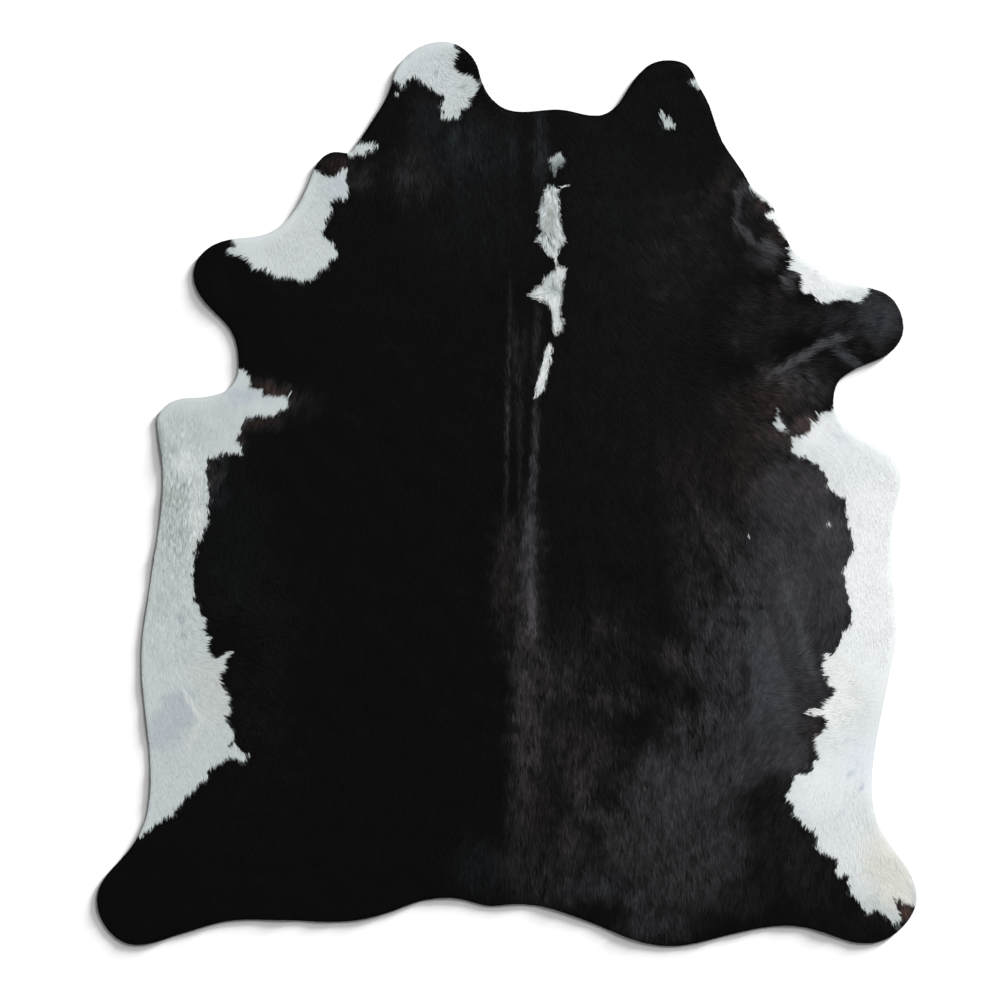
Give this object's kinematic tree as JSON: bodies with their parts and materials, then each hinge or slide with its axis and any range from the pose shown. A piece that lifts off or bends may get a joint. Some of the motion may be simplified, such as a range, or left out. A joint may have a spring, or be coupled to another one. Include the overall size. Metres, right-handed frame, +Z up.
{
  "type": "cowhide rug",
  "caption": "Whole black and white cowhide rug with its hair on, trimmed to a smooth wavy edge and lying flat, hair side up.",
  "frame": {"origin": "middle of the rug's outline box, on the floor", "axes": "+Z up out of the hair, +Y from the rump to the neck, +X across the hide"},
  "size_m": [2.048, 2.26, 0.011],
  "materials": {
    "hair_on_hide": "short lying hair, black with white markings, soft sheen",
    "skin": "pale tanned suede on the underside and the cut edge"
  },
  "bodies": {
    "root": {"hide": "hair_on_hide"}
  },
  "joints": []
}
